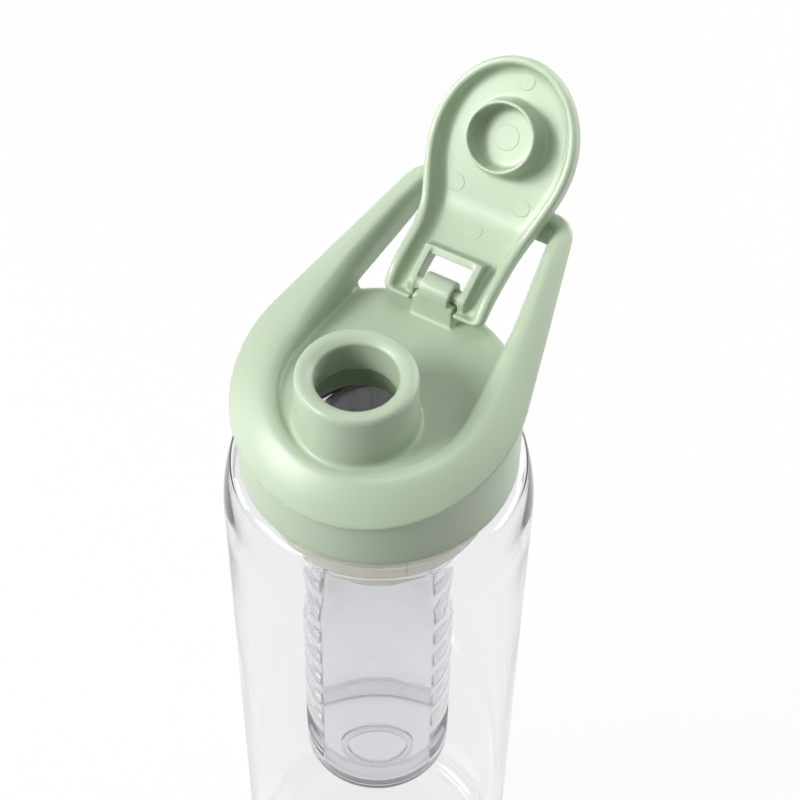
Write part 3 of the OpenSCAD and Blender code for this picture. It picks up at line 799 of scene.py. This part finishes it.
def side_plate(outline, low_x, high_x):
    """bmesh of a plate across the cap, from an outline of (s, n)."""
    return drawn_out([(low_x, s, n) for s, n in outline], (high_x - low_x, 0, 0))


def floor_mark(x, s, radius, n=None):
    """bmesh of a round ejector mark that stands just proud of the cap's floor."""
    sunk, proud, edge, step = 0.0003, 0.0001, 0.00008, 0.0005
    mark = spun([(0, sunk), (radius, sunk), (radius, edge - proud), (radius - edge, -proud),
                 (radius - 2 * edge, -proud), (0, -proud)], 48, closed=False)
    slope = 0.0 if n else (back_n(s + step) - back_n(s - step)) / (2 * step)
    place = (Matrix.Translation((x, s, n or floor_n(s)))
             @ Matrix.Rotation(atan2(slope, 1), 4, "X"))
    bmesh.ops.transform(mark, matrix=place, verts=mark.verts)
    return mark


notch_w, notch_out, notch_s, notch_top, notch_lip = 0.0056, 0.0074, 0.0069, 0.0087, 0.0018
knuckle_r, pin_r, pin_x, pin_l = 0.0019, 0.0015, 0.0048, 0.004
upper_in, upper_end, heel = 0.0007, -cap_end + 0.0003, (-0.0040, 0.0009)
beyond, below, above = 0.02, 0.01, 0.03
cap_shell = cleaned(lofted(cap_rings(), closed=False))
cap_shell = cut(cap_shell, boxed((-notch_w, -beyond, -below), (notch_w, notch_s, above)))
upper = [upper_end + (notch_top - upper_end) * i / 10 for i in range(11)]
wall_outline = ([(notch_top, notch_lip)] + arc((0, 0), knuckle_r, -66, -129, 8)
                + [heel] + [(s, back_n(s) - upper_in) for s in upper])
top_outline = [(notch_s, notch_lip), (notch_top, notch_lip),
               (notch_top, back_n(notch_top) - upper_in), (notch_s, back_n(notch_s) - upper_in)]
cap_parts = [cap_shell, side_plate(top_outline, -notch_out, notch_out)]
for side in (-1, 1):
    cap_parts.append(side_plate(wall_outline, side * notch_w, side * notch_out))
    cap_parts.append(bar_along_x(pin_r, pin_l, (side * pin_x, 0, 0), 48))
plug_gap, plug_h, plug_base, plug_end = 0.0003, 0.0055, 0.0090, 0.00835
plug_floor = spout_top - hinge.z + plug_gap
plug_tip = plug_floor - plug_h
plug_t, plug_tip_t, plug_corner, foot_out, plug_sunk = 0.0020, 0.0009, 0.001, 0.0005, 0.0006
ceiling = floor_n(plug_s)
plug = spun([(0, plug_floor)]
            + arc((plug_base - plug_t - plug_corner, plug_floor - plug_corner), plug_corner, 90, 0, 5)
            + arc((plug_end - plug_tip_t / 2, plug_tip + plug_tip_t / 2), plug_tip_t / 2, 180, 360)
            + arc((plug_base + foot_out, ceiling - foot_out), foot_out, 180, 90, 6)
            + [(plug_base + foot_out, ceiling + plug_sunk), (0, ceiling + plug_sunk)],
            128, closed=False)
bmesh.ops.translate(plug, verts=plug.verts, vec=(0, plug_s, 0))
cap_parts.append(plug)
marks = [floor_mark(0.0, 0.0497, 0.0019), floor_mark(0.0084, 0.0227, 0.002),
         floor_mark(-0.0084, 0.0227, 0.002), floor_mark(0.0, 0.0140, 0.002),
         floor_mark(0.0, plug_s, 0.003, plug_floor)]
cap_mesh = joined(thinned(fused(joined(*cap_parts), voxel=0.0003), share=0.7), *marks)
swing = (Matrix.Translation(hinge) @ Matrix.Rotation(-open_turn, 4, "X")
         @ Matrix.Rotation(pi, 4, "Z"))
bmesh.ops.transform(cap_mesh, matrix=swing, verts=cap_mesh.verts)
cap = piece("cap", cap_mesh, sage, "cap")
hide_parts("flip_cap")
